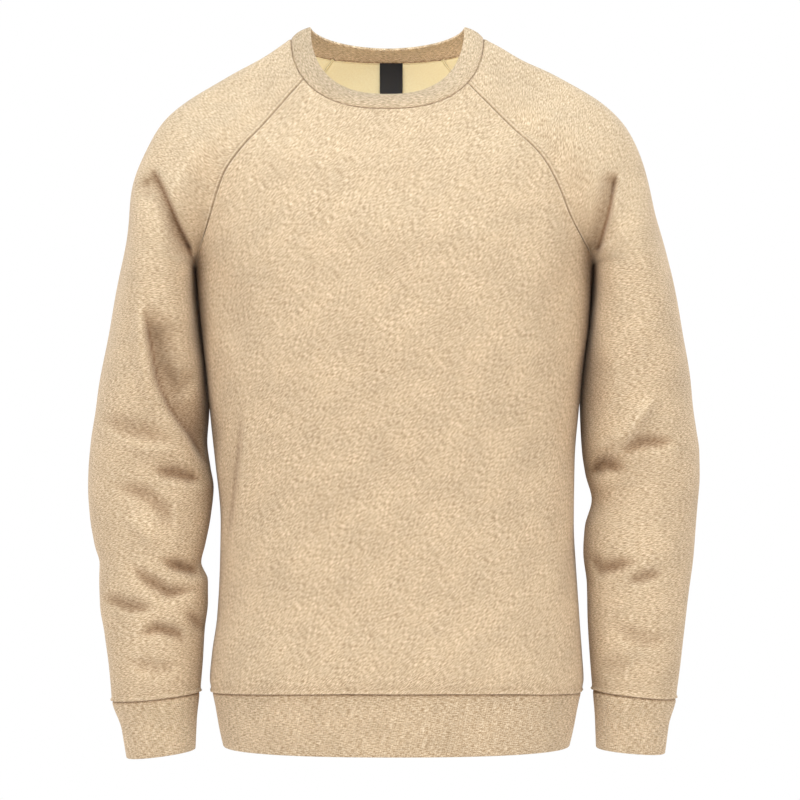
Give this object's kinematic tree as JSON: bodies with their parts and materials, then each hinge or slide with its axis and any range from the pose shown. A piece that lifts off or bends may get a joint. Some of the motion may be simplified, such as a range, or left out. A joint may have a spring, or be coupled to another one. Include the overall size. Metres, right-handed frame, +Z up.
{
  "type": "crewneck sweatshirt",
  "caption": "Hollow raglan-sleeved fleece sweatshirt in its worn shape, with rib collar, cuffs and hem band.",
  "frame": {"origin": "midway between the two places where the shoulders meet the collar, where the wearer's shoulders hold the garment", "axes": "+Z up, -Y out of the wearer's front, +X to the wearer's left"},
  "size_m": [0.6009, 0.2484, 0.7188],
  "materials": {
    "fleece": "matt heather knit, brushed inside",
    "rib_knit": "matt heather rib knit",
    "label_satin": "smooth satin weave"
  },
  "bodies": {
    "root": {"front": "fleece", "back": "fleece", "sleeve_right": "fleece", "sleeve_left": "fleece", "collar_rib": "rib_knit", "cuff_right": "rib_knit", "cuff_left": "rib_knit", "hem_band": "rib_knit", "neck_label": "label_satin"}
  },
  "joints": []
}
